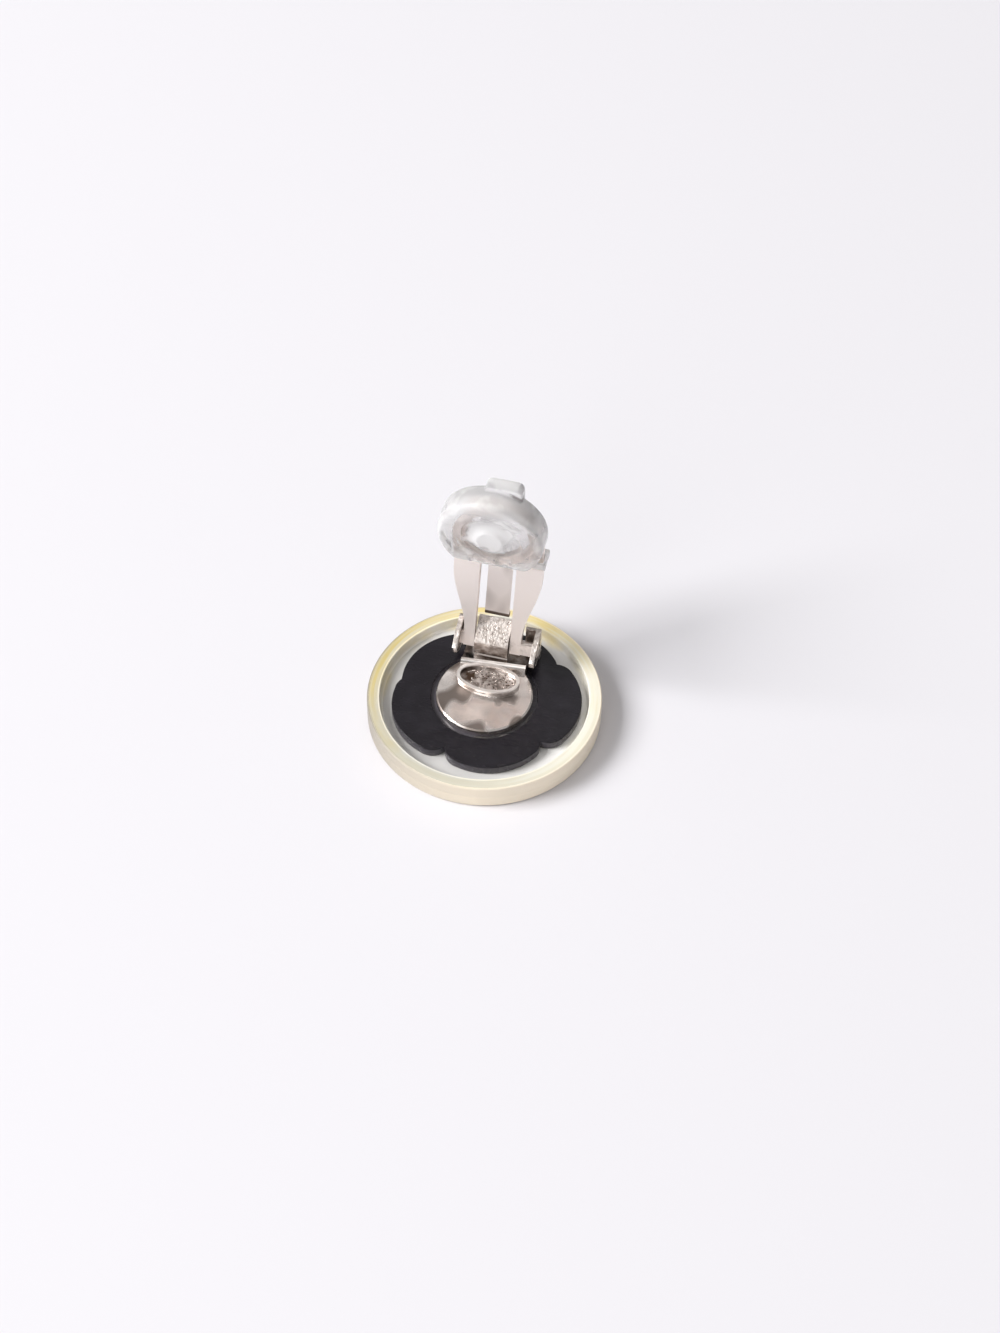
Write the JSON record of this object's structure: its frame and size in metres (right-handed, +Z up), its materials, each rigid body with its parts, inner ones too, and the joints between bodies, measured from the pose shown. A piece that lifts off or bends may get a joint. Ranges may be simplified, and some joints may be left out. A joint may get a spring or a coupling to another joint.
{
  "type": "button earring",
  "caption": "Clip-on button earring: clear round dish with a dark five-petal flower, a metal clip base with a hinged lever, and a clear cushion pad. Shown face down with its clip open.",
  "frame": {"origin": "middle of the round face that the earring lies on", "axes": "+Z up from the face through the back of the earring, +X along the clip's hinge, -Y from the hinge towards the side that the clip closes over"},
  "size_m": [0.025, 0.025, 0.0271],
  "materials": {
    "clear_acrylic": "polished, yellowed with age",
    "black_acrylic": "glossy",
    "nickel": "bright plating, lightly tarnished",
    "spring_steel": "rolled",
    "clear_silicone": "soft gloss"
  },
  "bodies": {
    "base": {"dish": "clear_acrylic", "flower": "black_acrylic", "clip_base": "nickel"},
    "lever": {"clip_lever": "nickel", "leaf_spring": "spring_steel", "ear_pad": "clear_silicone"}
  },
  "joints": [
    {"name": "clip_hinge", "type": "hinge", "parent": "base", "child": "lever", "pos_m": [0, 0.0053, 0.00555], "axis": [1, 0, 0], "range_deg": [-4, 96]}
  ]
}
